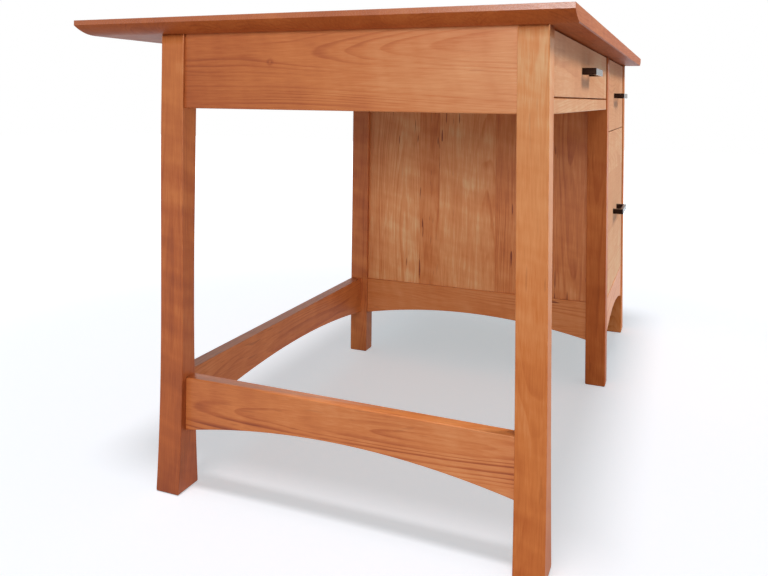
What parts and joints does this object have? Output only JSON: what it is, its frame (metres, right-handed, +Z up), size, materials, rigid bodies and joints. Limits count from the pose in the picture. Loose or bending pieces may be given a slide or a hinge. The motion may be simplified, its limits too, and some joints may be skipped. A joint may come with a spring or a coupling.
{
  "type": "study desk",
  "caption": "Wooden study desk with a solid top on slender legs, an open knee space under a wide drawer, and a drawer pedestal on the right.",
  "frame": {"origin": "on the floor, under the middle of the top", "axes": "+X along the width towards the pedestal, -Y towards the sitter, +Z up"},
  "size_m": [1.4, 0.795, 0.762],
  "materials": {
    "cherry": "satin oil",
    "maple": "satin lacquer",
    "plywood": "satin lacquer",
    "bronze": "dark bronze, satin",
    "steel": "zinc plated"
  },
  "bodies": {
    "desk": {"top": "cherry", "front_left_leg": "cherry", "back_left_leg": "cherry", "front_middle_leg": "cherry", "back_middle_leg": "cherry", "front_right_leg": "cherry", "back_right_leg": "cherry", "left_apron": "cherry", "back_apron": "cherry", "drawer_rail": "cherry", "left_stretcher": "cherry", "back_stretcher": "cherry", "pedestal_left_rail": "cherry", "pedestal_right_rail": "cherry", "pedestal_front_rail": "cherry", "pedestal_back_rail": "cherry", "pedestal_left_panel": "cherry", "pedestal_right_panel": "cherry", "pedestal_back_panel": "cherry", "pedestal_floor": "plywood", "divider_rail": "maple", "wide_drawer_left_runner": "maple", "wide_drawer_right_runner": "maple", "upper_drawer_left_runner": "maple", "upper_drawer_right_runner": "maple", "left_slide_block": "maple", "right_slide_block": "maple", "slide_case_members": "steel", "slide_case_screws": "steel", "runner_screws": "steel", "top_cleats": "maple", "top_screws": "steel"},
    "wide_drawer": {"wide_drawer_front": "cherry", "wide_drawer_left_side": "maple", "wide_drawer_right_side": "maple", "wide_drawer_back": "maple", "wide_drawer_bottom": "plywood", "wide_drawer_pull": "bronze", "wide_drawer_pull_screws": "steel"},
    "upper_drawer": {"upper_drawer_front": "cherry", "upper_drawer_left_side": "maple", "upper_drawer_right_side": "maple", "upper_drawer_back": "maple", "upper_drawer_bottom": "plywood", "upper_drawer_pull": "bronze", "upper_drawer_pull_screws": "steel"},
    "file_drawer": {"file_drawer_front": "cherry", "file_drawer_left_side": "maple", "file_drawer_right_side": "maple", "file_drawer_back": "maple", "file_drawer_bottom": "plywood", "file_drawer_pull": "bronze", "file_drawer_pull_screws": "steel", "slide_drawer_members": "steel", "slide_drawer_screws": "steel"},
    "slide_middle": {"slide_middle_members": "steel"}
  },
  "joints": [
    {"name": "wide_drawer_slide", "type": "slide", "parent": "desk", "child": "wide_drawer", "axis": [0, -1, 0], "range_m": [0, 0.35]},
    {"name": "upper_drawer_slide", "type": "slide", "parent": "desk", "child": "upper_drawer", "axis": [0, -1, 0], "range_m": [0, 0.35]},
    {"name": "file_drawer_slide", "type": "slide", "parent": "desk", "child": "file_drawer", "axis": [0, -1, 0], "range_m": [0, 0.48]},
    {"name": "slide_middle_slide", "type": "slide", "parent": "desk", "child": "slide_middle", "axis": [0, -1, 0], "range_m": [0, 0.24]}
  ],
  "couplings": [
    {"joint": "slide_middle_slide", "follows": "file_drawer_slide", "ratio": 0.5}
  ]
}
